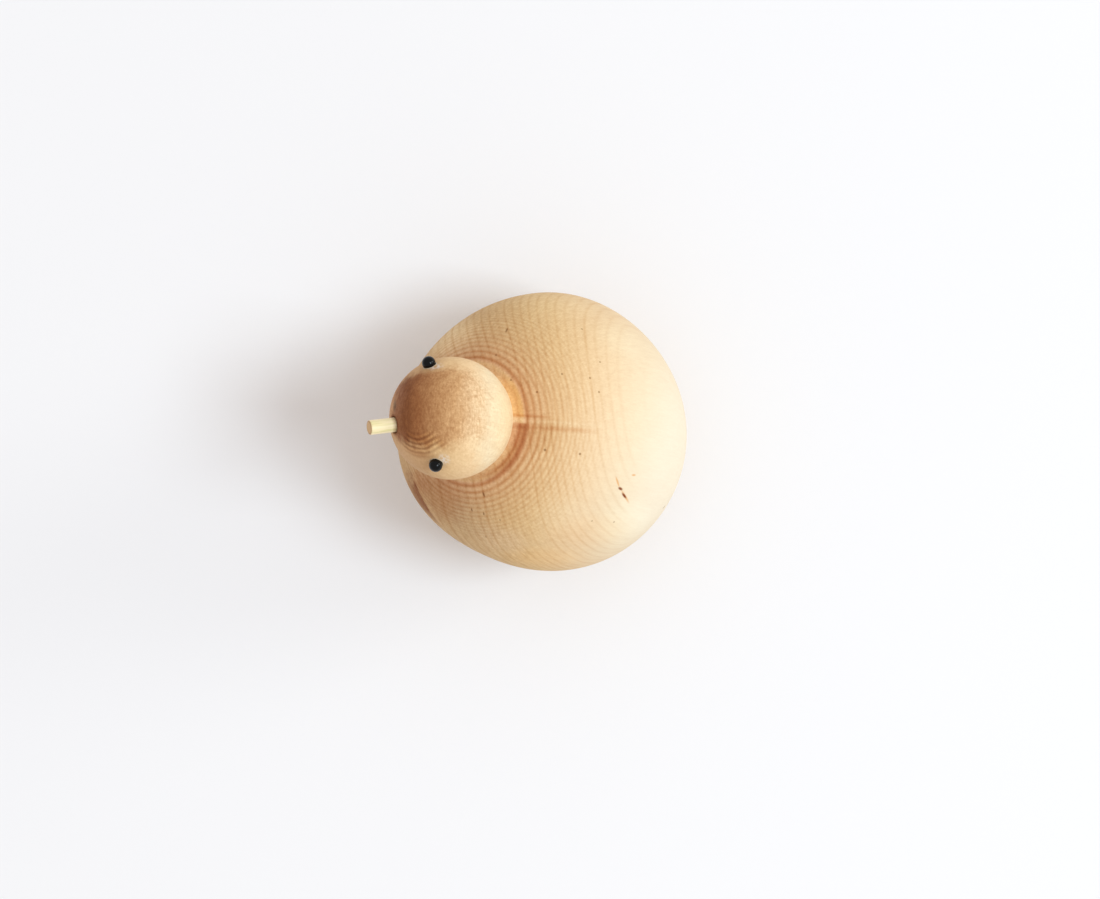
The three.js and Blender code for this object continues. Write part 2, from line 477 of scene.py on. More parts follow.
class Finish:
    """A material and the nodes that make it."""

    def __init__(self, name):
        self.material = bpy.data.materials.new(name)
        self.material.use_nodes = True
        self.tree = self.material.node_tree
        self.tree.nodes.clear()

    def add(self, kind, settings, sockets, out=0):
        """One node: its settings first, then its sockets by place or name."""
        node = self.tree.nodes.new(kind)
        stops = settings.pop("stops", ())
        for key, value in settings.items():
            setattr(node, key, value)
        if stops:
            while len(node.color_ramp.elements) < len(stops):
                node.color_ramp.elements.new(1.0)
            for element, (place, colour) in zip(node.color_ramp.elements, stops):
                element.position = place
                element.color = colour
        for key, value in sockets.items():
            socket = node.inputs[key]
            if isinstance(value, Wire):
                self.tree.links.new(value.socket, socket)
            else:
                socket.default_value = value
        return Wire(self, node.outputs[out]) if node.outputs else None

    def math(self, operation, *inputs):
        """A Math node, its inputs by place."""
        return self.add("ShaderNodeMath", {"operation": operation}, dict(enumerate(inputs)))

    def vector(self, operation, *inputs, out=0):
        """A Vector Math node, its inputs by place."""
        return self.add("ShaderNodeVectorMath", {"operation": operation}, dict(enumerate(inputs)), out)

    def dot(self, a, b):
        """Dot product with a fixed vector: how far along it."""
        return self.vector("DOT_PRODUCT", a, tuple(b), out="Value")

    def length(self, a):
        """Length of a vector."""
        return self.vector("LENGTH", a, out="Value")

    def off_line(self, a, along):
        """Distance from the line through the origin in the direction `along`."""
        return self.length(self.vector("CROSS_PRODUCT", a, tuple(along)))

    def join(self, x, y, z):
        """A vector from its three parts."""
        return self.add("ShaderNodeCombineXYZ", {}, {"X": x, "Y": y, "Z": z})

    def rise(self, x, low, high):
        """0 at low to 1 at high, smoothly; low may be above high."""
        return self.add("ShaderNodeMapRange", {"interpolation_type": "SMOOTHSTEP"}, {
            "Value": x, "From Min": low, "From Max": high, "To Min": 0.0, "To Max": 1.0})

    def band(self, x, middle, half):
        """1 at the middle of a band, falling smoothly to 0 at its edges."""
        return self.rise(self.math("ABSOLUTE", x - middle), half, 0.0)

    def stretch(self, x, start, end):
        """1 inside a stretch of x, with a smooth rise at its start and at its end."""
        return self.rise(x, *start) * self.rise(x, *end)

    def least(self, mask, share):
        """The mask drawn up, so that it is the share where it was 0."""
        return mask * (1.0 - share) + share

    def wave(self, count):
        """1 where the count is whole, 0 half way between."""
        return self.math("COSINE", count * (2.0 * math.pi)) * 0.5 + 0.5

    def noise(self, vector, scale, detail=2.0):
        """Noise about 0, mostly from -1 to 1: the texture less a half, times four."""
        return (self.add("ShaderNodeTexNoise", {}, {
            "Vector": vector, "Scale": scale, "Detail": detail}) - 0.5) * 4.0

    def uneven(self, vector, scale, detail, middle, swing):
        """A strength that noise moves up and down about its middle."""
        return self.noise(vector, scale, detail) * swing + middle

    def patch(self, place, middle, reach):
        """1 in the middle of a soft egg-shaped patch, falling to 0 at its edge."""
        from_middle = self.vector("SUBTRACT", place, tuple(middle))
        return self.rise(self.length(self.vector("DIVIDE", from_middle, reach)), 1.0, PATCH_CORE)

    def dot_at(self, place, pixel, radius):
        """1 in the middle of a dot under a pixel of the photograph, falling to 0 at its radius."""
        from_middle = self.vector("SUBTRACT", place, tuple(seen(*pixel)))
        return self.rise(self.length(from_middle), radius, STROKE_CORE * radius)

    def stroke(self, place, pixels, radius):
        """1 on a short stroke between two pixels of the photograph, falling to 0 at its radius."""
        start, end = seen(*pixels[:2]), seen(*pixels[2:])
        along = unit(end - start)
        from_middle = self.vector("SUBTRACT", place, tuple(0.5 * (start + end)))
        lengthwise = self.dot(from_middle, along) * (1.0 / (0.5 * np.linalg.norm(end - start) + radius))
        across = self.off_line(from_middle, along) * (1.0 / radius)
        return self.rise((lengthwise * lengthwise + across * across) ** 0.5, 1.0, STROKE_CORE)

    def strokes(self, place, rows):
        """The greatest of several strokes, everywhere."""
        return self.most([self.stroke(place, pixels, radius) for pixels, radius in rows])

    def ramp(self, x, stops):
        """Colour by x, through stops of (x, colour)."""
        low, high = stops[0][0], stops[-1][0]
        placed = [((at - low) / (high - low), colour) for at, colour in stops]
        share = (x - low) * (1.0 / (high - low))
        return self.add("ShaderNodeValToRGB", {"stops": placed}, {"Fac": share})

    def blend(self, mask, under, over, way="MIX"):
        """Two colours mixed by the mask. They are the Mix node's inputs 6 and 7 and its output 2."""
        return self.add("ShaderNodeMix", {"data_type": "RGBA", "blend_type": way},
                        {0: mask, 6: under, 7: over}, 2)

    def tint(self, mask, colour, tint):
        """The colour times the tint, by the mask."""
        return self.blend(mask, colour, tint, "MULTIPLY")

    def vary(self, mask, strength, colour, low, high):
        """The colour times a factor that runs from low to high with the mask."""
        return self.tint(strength, colour, self.blend(mask, low, high))

    def most(self, masks):
        """The greatest of several masks, everywhere."""
        whole = masks[0]
        for mask in masks[1:]:
            whole = self.math("MAXIMUM", whole, mask)
        return whole

    def millimetres(self, middle):
        """Place on the piece, in millimetres from `middle`."""
        place = self.add("ShaderNodeTexCoord", {}, {}, "Object")
        return self.vector("MULTIPLY_ADD", place, (1.0 / MM,) * 3, tuple(-np.asarray(middle)))

    def grain(self, place, along, stretch):
        """Places drawn out along the fibres, for streaks on the sides and dots on end grain."""
        one, other = square_to(along)
        return self.join(self.dot(place, one), self.dot(place, other), self.dot(place, along) * stretch)

    def bump(self, height, depth_mm):
        """The normal, tilted as by grooves so many millimetres deep."""
        return self.add("ShaderNodeBump", {}, {
            "Strength": 1.0, "Distance": depth_mm * MM, "Height": height})

    def surface(self, sockets):
        """The material, its shader's sockets by name."""
        shader = self.add("ShaderNodeBsdfPrincipled", {}, sockets)
        self.add("ShaderNodeOutputMaterial", {}, {"Surface": shader})
        return self.material


def shade(r, g, b):
    """A colour in linear values."""
    return (r, g, b, 1.0)


# shares of a patch's and of a stroke's reach that have their full colour
PATCH_CORE, STROKE_CORE = 0.2, 0.3

# level directions: towards the tail, and towards the bird's right
TAILWARD, SIDEWAYS = (1.0, 0.0, 0.0), (0.0, 1.0, 0.0)

# Tone from the heart of the log out to the sapwood, by depth from the pith.
# The tone is made paler towards the bird's left and towards the bottom.
TONE = (
    (41.0, shade(0.583, 0.392, 0.196)),
    (51.0, shade(0.655, 0.442, 0.212)),
    (56.0, shade(0.718, 0.497, 0.25)),
    (60.0, shade(0.765, 0.548, 0.305)),
    (64.0, shade(0.8, 0.606, 0.378)),
    (68.0, shade(0.81, 0.665, 0.46)),
    (72.0, shade(0.82, 0.715, 0.55)),
    (78.0, shade(0.83, 0.75, 0.6)),
)
PALER = (-0.076, -0.235, -0.218)

# Below, a pair is where a mask is 0 and where it is 1. Unevenness is the
# noise's scale and detail, then the middle and the swing of the strength.

# in tone: where sapwood turns into heartwood, and where the rings show; in
# depth: the last clear ring; and what shows of the rings in sapwood and beyond
HEART = (73.0, 45.0)
RING_SHOWS, RING_IN_SAPWOOD = (71.0, 67.5), 0.4
RING_LAST, RING_BEYOND = (76.0, 73.6), 0.15

# a ring's dark line: tint, how sharp it is, and its unevenness by year and place
RING_TINT = shade(0.85, 0.73, 0.6)
RING_SHARP = 4.0
YEAR_PACE, RING_BY_YEAR = 0.8, (1.0, 1.0, 0.6, 0.35)
RING_BY_PLACE = (0.1, 2.0, 0.9, 0.4)

# the neck: darker and redder, partly the wood's tone and partly painted shade in the crease under the
# head: tint, and how soon it fades
NECK_TONE_AND_SHADE = shade(0.954, 0.7, 0.72)
NECK_FADE = 6.0

# rings left by the tool: tint on the ridges and in the grooves, how sharp,
# how strong at the neck, how soon they fade, from where they show, and how
# much is left of them on heartwood and out to where
MARK_RIDGE, MARK_GROOVE = shade(1.08, 1.18, 1.26), shade(0.84, 0.72, 0.6)
MARK_SHARP = 1.4
MARK_STRONG = 1.35
MARK_PALES = 5.5
MARK_SHOWS = (0.8, 1.5)
MARK_LEFT, MARK_LAST = 0.25, (21.0, 12.0)
MARK_UNEVEN = (0.3, 3.0, 0.75, 0.4)

# to the left of the seam the rings are bolder, and the first are nearer to
# the neck, by a share of their step
BOLD_SIDE, BOLDER = ((-1.0, 1.0), (15.0, 8.0)), 0.4
NEAR_SIDE, NEAR_OUT, NEARER = ((0.3, 0.9), (16.0, 10.0)), (4.5, 2.5), 0.25

# fibres: tint between them and along them, how far they are drawn out, the
# noise of long streaks, short specks and fine fibres, the share of each in
# the mask, and the mask's middle
FIBRE_LIGHT, FIBRE_DARK = shade(1.15, 1.22, 1.27), shade(0.86, 0.79, 0.72)
FIBRE_STRETCH, LONG_FIBRES, SHORT_FIBRES = 0.12, (0.9, 3.0), (2.0, 2.0)
FINE_STRETCH, FINE_FIBRES = 0.3, (4.0, 1.0)
LONG_SHARE, SHORT_SHARE, FINE_SHARE, FIBRE_MIDDLE = 0.25, 0.3, 0.25, 0.5
FIBRES_IN_SAPWOOD, FIBRES_ON_HEAD = 0.15, 0.4

# bare wood's surface: roughness and its swing, refraction, and how high the
# streaks and how deep the fibres are
WOOD_ROUGH, WOOD_ROUGH_SWING, WOOD_IOR = 0.7, 0.03, 1.3
LONG_HEIGHT, FIBRE_DEPTH = 0.5, 0.02

# broad patches off the tone: place in the photograph, reach across and up it,
# tint. Down into the wood they reach so many times the greater of the two.
# The paler, bluer ones near the outline are painted light: the white floor reflected at the body's grazing
# edges.
CLOUD_DEEP = 1.5
PATCHES_AND_EDGE_LIGHT = (
    ((438, 499), (10.0, 9.0), shade(0.82, 0.7, 0.62)),
    ((420, 482), (4.5, 4.5), shade(0.88, 0.76, 0.7)),
    ((450, 338), (10.0, 8.0), shade(1.28, 1.41, 1.55)),
    ((500, 541), (9.0, 6.0), shade(1.02, 1.05, 1.18)),
    ((540, 434), (6.0, 6.0), shade(0.92, 0.88, 0.82)),
    ((626, 523), (11.0, 8.0), shade(1.06, 1.1, 1.12)),
    ((470, 520), (8.0, 8.0), shade(0.94, 0.95, 0.99)),
    ((560, 518), (9.0, 7.0), shade(1.03, 1.06, 1.09)),
    ((620, 340), (8.0, 7.0), shade(1.03, 1.07, 1.1)),
    ((545, 558), (13.0, 4.0), shade(1.06, 1.02, 0.95)),
    ((592, 532), (15.0, 6.0), shade(1.0, 0.95, 0.9)),
    ((550, 302), (14.0, 6.0), shade(1.05, 1.08, 1.1)),
)

# the seam across the back: two points of it in the photograph, how it
# wanders, its middle and half width, where it fades away from the neck, and
# how far back from the head it and all beside it are seen
SEAM_FROM, SEAM_TO = (511, 419), (617, 427.5)
SEAM_WANDERS, SEAM_WANDER = (0.5, 2.0), 0.12
SEAM_LIGHT = shade(1.08, 1.16, 1.25)
SEAM_LINE, SEAM_FADES = (0.0, 0.6), (20.0, 4.0)
BEHIND_HEAD = (-17.0, -12.0)

# darker lines to its left and to its right, and where they fade
SEAM_DARK = shade(0.86, 0.72, 0.62)
LEFT_LINE, LEFT_FADES, LEFT_UNEVEN = (1.4, 0.95), (19.0, 11.0), (0.25, 2.0, 0.8, 0.3)
RIGHT_LINE, RIGHT_FADES = (-1.1, 0.6), (7.5, 4.5)

# darker, redder wood left of the seam by the neck, partly the wood's colour and
# partly painted shade: where it starts and ends past the seam and out from the
# neck, and the middle and half width of a darker ring in it
NECK_DARK_TINT = shade(0.77, 0.59, 0.49)
NECK_DARK_SIDE = ((0.35, 0.8), (16.0, 9.0))
NECK_DARK_STARTS, NECK_DARK_ENDS = (-0.4, 0.4), (2.75, 2.1)
NECK_DARK_RING = (0.5, 0.45)

# pale wood in the corner under the head, and how much of it the darkening left
# of the seam takes away
CORNER_TINT, CORNER_OUT = shade(1.15, 1.42, 1.4), (1.6, 0.6)
DARKENED_SIDE, DARKENED_SHARE = ((0.2, 0.7), (7.0, 4.5)), 0.6

# right of the seam: a warm glow by the neck, painted light bounced between head and neck, and a browner
# ring outside it
RIGHT_SIDE = (-0.4, -1.2)
GLOW_TINT, GLOW_OUT, GLOW_ENDS = shade(1.05, 0.95, 0.74), (1.8, 0.8), (-11.0, -7.0)
RIM_TINT, RIM_RING, RIM_BACK = shade(0.95, 0.91, 0.86), (2.4, 1.5), (-26.0, -14.0)

# dark streak low on the left of the breast: two points of its upper edge in
# the photograph, how it wanders, its fibres and how ragged they leave its
# ends, where it starts and ends along the edge, how both ends taper below
# the edge, and where it fades
STREAK_FROM, STREAK_TO = (415.8, 481.5), (431.3, 512)
STREAK_TINT = shade(0.51, 0.3, 0.175)
STREAK_WANDERS = (0.4, 2.0)
STREAK_STRETCH, STREAK_FIBRES, STREAK_RAGGED = 0.08, (0.7, 3.0), 1.5
STREAK_STARTS, TAPER_AT_START = (-5.0, 2.0), 0.35
STREAK_ENDS, TAPER_AT_END = (15.0, 8.0), 0.8
STREAK_EDGE, EDGE_RAGGED = (0.0, 0.8), 0.15
STREAK_FADES = (8.0, 3.0)
STREAK_STRONG, STREAK_SWING = 0.9, 0.2

# a pale line beside its edge: middle and half width
STREAK_LIGHT, STREAK_LINE = shade(1.1, 1.14, 1.18), (-0.6, 0.7)

# pores, longer pores, pin knots and the pitch they lie in: places in the
# photograph, radius in millimetres
PORES = (
    (582, 329, 0.32), (600, 362, 0.3), (562, 374, 0.32), (590, 378, 0.34), (511, 380, 0.3),
    (599, 392, 0.36), (537, 392, 0.34), (545, 450, 0.42), (580, 454, 0.4),
    (500, 520, 0.3), (592, 521, 0.28), (614, 522, 0.3), (496, 355, 0.3), (486, 537, 0.3),
)
LONG_PORES = (
    ((482.8, 492, 484.8, 497), 0.32), ((483.4, 512.5, 484, 515), 0.3),
    ((471.4, 508.5, 472.2, 511), 0.28), ((507.3, 328.5, 506, 332), 0.36),
    ((662.8, 508.5, 665.4, 505.5), 0.34),
)
PIN_KNOTS = (
    ((618.8, 487.8, 622, 489.6), 0.46), ((622, 493, 626.2, 498.2), 0.42),
)
PITCH = (
    ((615.5, 476, 619.5, 488), 0.34), ((620.5, 489, 629.5, 504), 0.4), ((632, 475, 635.5, 475.2), 0.36),
)
PORE_TINT = shade(0.5, 0.41, 0.32)
KNOT_TINT = shade(0.3, 0.11, 0.05)
PITCH_TINT = shade(0.92, 0.66, 0.46)

# darker wood on the head, where the tool's arcs end beside the left eye
EYE_SHADE = (((407, 448, 428, 455), 2.2),)
EYE_SHADE_TINT = shade(0.78, 0.67, 0.6)

# grey smudge on the face above the beak
SMUDGE = (((394.6, 402, 394.8, 409), 1.2),)
SMUDGE_TINT = shade(0.6, 0.66, 0.7)

# milky glue spread on the wood beside each eye: place in the photograph and
# reach, colour and how much it hides, and the noise that breaks it up
GLUE_FILMS = (((444, 460), (1.9, 2.2, 2.5)), ((435, 366.5), (2.5, 1.5, 2.0)))
GLUE_PALE, FILM_HIDES = shade(0.82, 0.76, 0.68), 0.7
FILM_NOISE, FILM_BREAKS = (1.6, 3.0), (-0.5, 0.5)

# head: colours along it, in millimetres from the ball's middle, of its side
# grain and of the patch of end grain on face and crown
HEAD_SIDE = (
    (-31.0, shade(0.6, 0.37, 0.19)),
    (-26.0, shade(0.56, 0.34, 0.165)),
    (-21.0, shade(0.73, 0.49, 0.25)),
    (-16.0, shade(0.83, 0.59, 0.335)),
    (-12.5, shade(0.82, 0.66, 0.43)),
    (-8.5, shade(0.84, 0.64, 0.38)),
)
HEAD_END = (
    (-33.6, shade(0.5, 0.26, 0.13)),
    (-32.4, shade(0.31, 0.13, 0.06)),
    (-30.2, shade(0.217, 0.073, 0.0225)),
    (-27.5, shade(0.31, 0.12, 0.041)),
    (-24.8, shade(0.41, 0.195, 0.078)),
    (-22.5, shade(0.47, 0.24, 0.1)),
    (-19.0, shade(0.6, 0.345, 0.16)),
    (-15.5, shade(0.73, 0.49, 0.275)),
)
# The patch is a rounded square: middle, reach and skew, as sines of the
# direction from the head's middle, and how square it is. Its edge and how
# high on the head it starts; then how ragged its fibres make the edge, and
# how far they shift the colours.
END_MIDDLE = (0.09, 0.1)
END_REACH = (0.85, 0.61)
END_SKEW, END_SQUARE = 0.15, 3.0
END_EDGE, END_UP = (1.18, 0.84), (0.05, 0.5)
END_STRETCH, END_FIBRES = 0.35, (0.5, 4.0)
END_RAGGED, HEAD_SHIFT = 0.13, 0.9

# flecks on the head, and how much of them shows on side grain
END_FLECK_LIGHT, END_FLECK_DARK = shade(1.18, 1.25, 1.31), shade(0.81, 0.75, 0.68)
FLECK_STRETCH, FLECKS, FLECKS_ON_SIDE = 0.4, (2.2, 2.0, 0.5, 0.45), 0.35

# the tool's arcs on the crown, in degrees from it: the first, the step, how
# they wander, and from where to where they show; then the middle and slope
# of the wedge they fill on the bird's left
HEAD_MARK_FROM, HEAD_MARK_STEP = 19.0, 4.9
ARC_WANDERS, ARC_WANDER = (0.35, 3.0), 0.8
ARC_STARTS, ARC_ENDS = (15.0, 24.0), (47.0, 32.0)
ARC_MIDDLE, ARC_SLOPE, ARC_SIDE = -0.01, 0.95, (0.0, 0.2)
HEAD_MARK_LIGHT, HEAD_MARK_DARK = shade(1.27, 1.33, 1.29), shade(0.76, 0.69, 0.61)

# darker wood round the beak's root, off the beak's line and along it
ROOT_TINT, ROOT_OFF, ROOT_ALONG = shade(0.62, 0.5, 0.4), (2.7, 2.0), (6.0, 9.0)

# half the height over which the body's finish gives way to the head's
HEAD_EDGE = 0.1


def growth(wood, place):
    """Tone and growth rings: shells about the pith, a dark line where a year ends.

    A shell's depth is its distance from the pith, bent by the log's waves.
    Gives the colour and how much of heartwood it is.
    """
    x, y, z = (wood.dot(place, np.eye(3)[i] / WAVE_SPAN) for i in range(3))
    from_pith = wood.vector("SUBTRACT", place, PITH_POINT)
    depth = wood.off_line(from_pith, PITH) + x * y * WAVE_XY + y * z * WAVE_YZ + z * z * WAVE_ZZ
    tone = depth + wood.dot(place, PALER)
    heart = wood.rise(tone, *HEART)
    years = depth * (depth * YEARS_BY_SQUARE + YEARS_BY_DEPTH)
    line = wood.wave(years) ** RING_SHARP
    by_year = wood.uneven(wood.join(years * YEAR_PACE, 0.0, 0.0), *RING_BY_YEAR)
    by_place = wood.uneven(place, *RING_BY_PLACE)
    shows = wood.rise(tone, *RING_SHOWS) * wood.least(heart, RING_IN_SAPWOOD)
    shows = shows * wood.least(wood.rise(depth, *RING_LAST), RING_BEYOND)
    return wood.tint(line * by_year * by_place * shows, wood.ramp(tone, TONE), RING_TINT), heart


def turning_marks(wood, place, out, past, heart, colour):
    """The tool's cuts round the shoulder: darker in the grooves, as the shape has them.

    They are counted as tool_cut counts them, out from the neck. To the left
    of the seam they are bolder, and the first lie nearer to the neck.
    """
    fade = wood.math("EXPONENT", out * (-1.0 / MARK_FADE))
    left = wood.stretch(past, *NEAR_SIDE)
    count = out * (1.0 / MARK_STEP) - (1.0 - fade) * MARK_SPARE - MARK_FIRST
    mark = wood.wave(count + left * wood.rise(out, *NEAR_OUT) * NEARER) ** MARK_SHARP
    pales = wood.math("EXPONENT", out * (-1.0 / MARK_PALES))
    shows = pales * wood.rise(out, *MARK_SHOWS) * MARK_STRONG
    shows = shows + wood.rise(out, *MARK_LAST) * heart * MARK_LEFT
    patchy = wood.uneven(place, *MARK_UNEVEN)
    patchy = patchy + wood.stretch(past, *BOLD_SIDE) * BOLDER
    return wood.vary(mark, shows * patchy, colour, MARK_RIDGE, MARK_GROOVE)


def seam(wood, place, out, past, colour):
    """A pale line across the back from the neck, with darker wood along its left side, partly painted
    shade.

    In the corner under the head the wood is paler, and to the right of the
    seam it is warm with a painted glow, light bounced between head and neck,
    with a browner ring outside that. A darker line runs on each side of the seam.
    """
    x = wood.dot(place, TAILWARD)
    behind = wood.rise(x, *BEHIND_HEAD)
    # darker by the neck left of the seam: partly the wood's colour, partly painted shade
    neck_dark = wood.stretch(past, *NECK_DARK_SIDE) * behind
    neck_dark = neck_dark * wood.rise(out, *NECK_DARK_STARTS) * wood.rise(out, *NECK_DARK_ENDS)
    colour = wood.tint(neck_dark, colour, NECK_DARK_TINT)
    colour = wood.tint(neck_dark * wood.band(out, *NECK_DARK_RING), colour, SEAM_DARK)
    darkened = wood.stretch(past, *DARKENED_SIDE) * behind * DARKENED_SHARE
    colour = wood.tint(wood.rise(out, *CORNER_OUT) * (1.0 - darkened), colour, CORNER_TINT)
    right = wood.rise(past, *RIGHT_SIDE)
    # painted warm light, bounced between head and neck
    glow = right * wood.rise(out, *GLOW_OUT) * wood.rise(past, *GLOW_ENDS) * behind
    colour = wood.tint(glow, colour, GLOW_TINT)
    ring = wood.band(out, *RIM_RING) * right * wood.rise(x, *RIM_BACK)
    colour = wood.tint(ring, colour, RIM_TINT)
    left_fades = wood.rise(out, *LEFT_FADES) * wood.uneven(place, *LEFT_UNEVEN)
    for line, fades in ((LEFT_LINE, left_fades), (RIGHT_LINE, wood.rise(out, *RIGHT_FADES))):
        colour = wood.tint(wood.band(past, *line) * fades * behind, colour, SEAM_DARK)
    line = wood.band(past, *SEAM_LINE) * wood.rise(out, *SEAM_FADES) * behind
    return wood.tint(line, colour, SEAM_LIGHT)


def dark_streak(wood, place, colour):
    """A dark streak along the fibres, sharp on its upper edge.

    Below the edge it tapers at both ends and fades. A pale line runs along
    the other side of the edge.
    """
    start, end = seen(*STREAK_FROM), seen(*STREAK_TO)
    edge = unit(end - start)
    from_start = wood.vector("SUBTRACT", place, tuple(start))
    past = wood.dot(from_start, unit(np.cross(edge, PITH)))
    along = wood.dot(from_start, edge) + wood.noise(place, *STREAK_WANDERS)
    fibres = wood.noise(wood.grain(place, PITH, STREAK_STRETCH), *STREAK_FIBRES)
    ragged = fibres * STREAK_RAGGED
    starts = wood.rise(along - past * TAPER_AT_START + ragged, *STREAK_STARTS)
    ends = wood.rise(along + past * TAPER_AT_END + ragged, *STREAK_ENDS)
    reach = starts * ends
    mask = wood.rise(past + fibres * EDGE_RAGGED, *STREAK_EDGE) * wood.rise(past + fibres, *STREAK_FADES)
    strength = fibres * STREAK_SWING + STREAK_STRONG
    colour = wood.tint(mask * reach * strength, colour, STREAK_TINT)
    return wood.tint(wood.band(past, *STREAK_LINE) * reach, colour, STREAK_LIGHT)


def head_grain(wood, place):
    """The head's wood: side grain all round, end grain on face and crown.

    The patch of end grain is where |across| ^ n + |beside| ^ n is small, in
    the direction from the head's middle, with a ragged edge, and the tool
    left dark arcs along its near side. Gives the colour and how much of end
    grain it is.
    """
    back = unit(np.array(TAILWARD) - AXIS[0] * AXIS)
    right = np.cross(AXIS, back)
    from_head = wood.vector("SUBTRACT", place, tuple(HEAD - BALL))
    way = wood.vector("NORMALIZE", from_head)
    u, w, up = wood.dot(way, back), wood.dot(way, right), wood.dot(way, AXIS)
    ragged = wood.noise(wood.grain(place, SIDEWAYS, END_STRETCH), *END_FIBRES)
    along = wood.dot(place, TAILWARD) + ragged * HEAD_SHIFT
    across = (u - END_MIDDLE[0]) * (1.0 / END_REACH[0])
    beside = (w - END_MIDDLE[1]) * (1.0 - across * END_SKEW) * (1.0 / END_REACH[1])
    one, other = (wood.math("ABSOLUTE", side) ** END_SQUARE for side in (across, beside))
    square = (one + other) ** (1.0 / END_SQUARE)
    patch = wood.rise(square + ragged * END_RAGGED, *END_EDGE) * wood.rise(up, *END_UP)
    colour = wood.blend(patch, wood.ramp(along, HEAD_SIDE), wood.ramp(along, HEAD_END))
    flecks = wood.uneven(wood.grain(place, SIDEWAYS, FLECK_STRETCH), *FLECKS)
    shows = wood.least(patch, FLECKS_ON_SIDE)
    colour = wood.vary(flecks, shows, colour, END_FLECK_LIGHT, END_FLECK_DARK)
    from_crown = wood.math("ARCCOSINE", up) * math.degrees(1.0)
    from_crown = from_crown + wood.noise(place, *ARC_WANDERS) * ARC_WANDER
    arc = wood.wave((from_crown - HEAD_MARK_FROM) * (1.0 / HEAD_MARK_STEP))
    near = wood.rise(-w - wood.math("ABSOLUTE", u - ARC_MIDDLE) * ARC_SLOPE, *ARC_SIDE)
    shows = near * wood.rise(from_crown, *ARC_STARTS) * wood.rise(from_crown, *ARC_ENDS)
    colour = wood.vary(arc, shows, colour, HEAD_MARK_LIGHT, HEAD_MARK_DARK)
    off = wood.off_line(from_head, beak_along)
    root = wood.rise(off, *ROOT_OFF) * wood.rise(wood.dot(from_head, beak_along), *ROOT_ALONG)
    return wood.tint(root, colour, ROOT_TINT), patch


def blemishes(wood, place, colour):
    """Pores, two pin knots on a line of pitch, a smudge, and milky glue beside the eyes."""
    pores = [wood.dot_at(place, (x, y), radius) for x, y, radius in PORES]
    pores += [wood.stroke(place, *row) for row in LONG_PORES]
    colour = wood.tint(wood.most(pores), colour, PORE_TINT)
    for rows, tint in ((PITCH, PITCH_TINT), (PIN_KNOTS, KNOT_TINT), (SMUDGE, SMUDGE_TINT),
                       (EYE_SHADE, EYE_SHADE_TINT)):
        colour = wood.tint(wood.strokes(place, rows), colour, tint)
    flecks = wood.rise(wood.noise(place, *FILM_NOISE), *FILM_BREAKS)
    for pixel, reach in GLUE_FILMS:
        film = wood.patch(place, seen(*pixel), reach) * flecks
        colour = wood.blend(film * FILM_HIDES, colour, GLUE_PALE)
    return colour


def wood_finish():
    """Pale close-grained wood, bare or barely oiled, with what growing and turning left
    on it, and with painted shade and painted light by the neck and at the outline.

    `out` is the distance from the neck down over the shoulder, as an arc of
    the ball, and `past` the distance to the left of the seam.
    """
    wood = Finish("turned_wood")
    place = wood.millimetres(BALL)
    on_axis = wood.dot(place, AXIS)
    off_axis = wood.off_line(place, AXIS)
    out = (COVE_ANGLE - wood.math("ARCTAN2", on_axis, off_axis)) * BALL_R
    head = wood.rise(on_axis, COVE_ALONG - HEAD_EDGE, COVE_ALONG + HEAD_EDGE)

    colour, heart = growth(wood, place)
    # painted shade and redder tone, fading out from the neck
    colour = wood.tint(wood.math("EXPONENT", out * (-1.0 / NECK_FADE)), colour, NECK_TONE_AND_SHADE)
    # patches of tone, and painted light from the floor near the outline
    for pixel, (across, up), tint in PATCHES_AND_EDGE_LIGHT:
        mask = wood.patch(place, seen(*pixel), (across, up, CLOUD_DEEP * max(across, up)))
        colour = wood.tint(mask, colour, tint)
    seam_across = unit(np.cross(seen(*SEAM_TO), seen(*SEAM_FROM)))
    past = wood.dot(place, seam_across) + wood.noise(place, *SEAM_WANDERS) * SEAM_WANDER
    colour = turning_marks(wood, place, out, past, heart, colour)
    colour = seam(wood, place, out, past, colour)
    colour = dark_streak(wood, place, colour)
    head_colour, end_grain = head_grain(wood, place)
    colour = wood.blend(head, colour, head_colour)

    fibre = wood.grain(place, PITH, FIBRE_STRETCH)
    streaks = wood.noise(fibre, *LONG_FIBRES)
    specks = wood.noise(fibre, *SHORT_FIBRES)
    fine = wood.noise(wood.grain(place, PITH, FINE_STRETCH), *FINE_FIBRES)
    rough = wood.least(heart, FIBRES_IN_SAPWOOD)
    rough = rough + head * (wood.least(end_grain, FIBRES_ON_HEAD) - rough)
    mask = streaks * LONG_SHARE + specks * SHORT_SHARE + fine * FINE_SHARE + FIBRE_MIDDLE
    colour = wood.vary(mask, rough, colour, FIBRE_LIGHT, FIBRE_DARK)
    colour = blemishes(wood, place, colour)

    height = streaks * LONG_HEIGHT + specks
    return wood.surface({
        "Base Color": colour, "Roughness": streaks * WOOD_ROUGH_SWING + WOOD_ROUGH,
        "IOR": WOOD_IOR, "Normal": wood.bump(height * rough, FIBRE_DEPTH)})


# bamboo: pale with green streaks, by the noise of its fibres; roughness and
# its swing, refraction, and the depth of the fibres
BAMBOO_PALE, BAMBOO_GREEN = shade(0.93, 0.8, 0.5), shade(0.74, 0.66, 0.32)
BAMBOO_STRETCH, BAMBOO_FIBRES, BAMBOO_STREAKS = 0.06, (1.6, 3.0), (-0.2, 0.9)
BAMBOO_ROUGH, BAMBOO_ROUGH_SWING, BAMBOO_IOR, BAMBOO_DEPTH = 0.5, 0.05, 1.45, 0.02

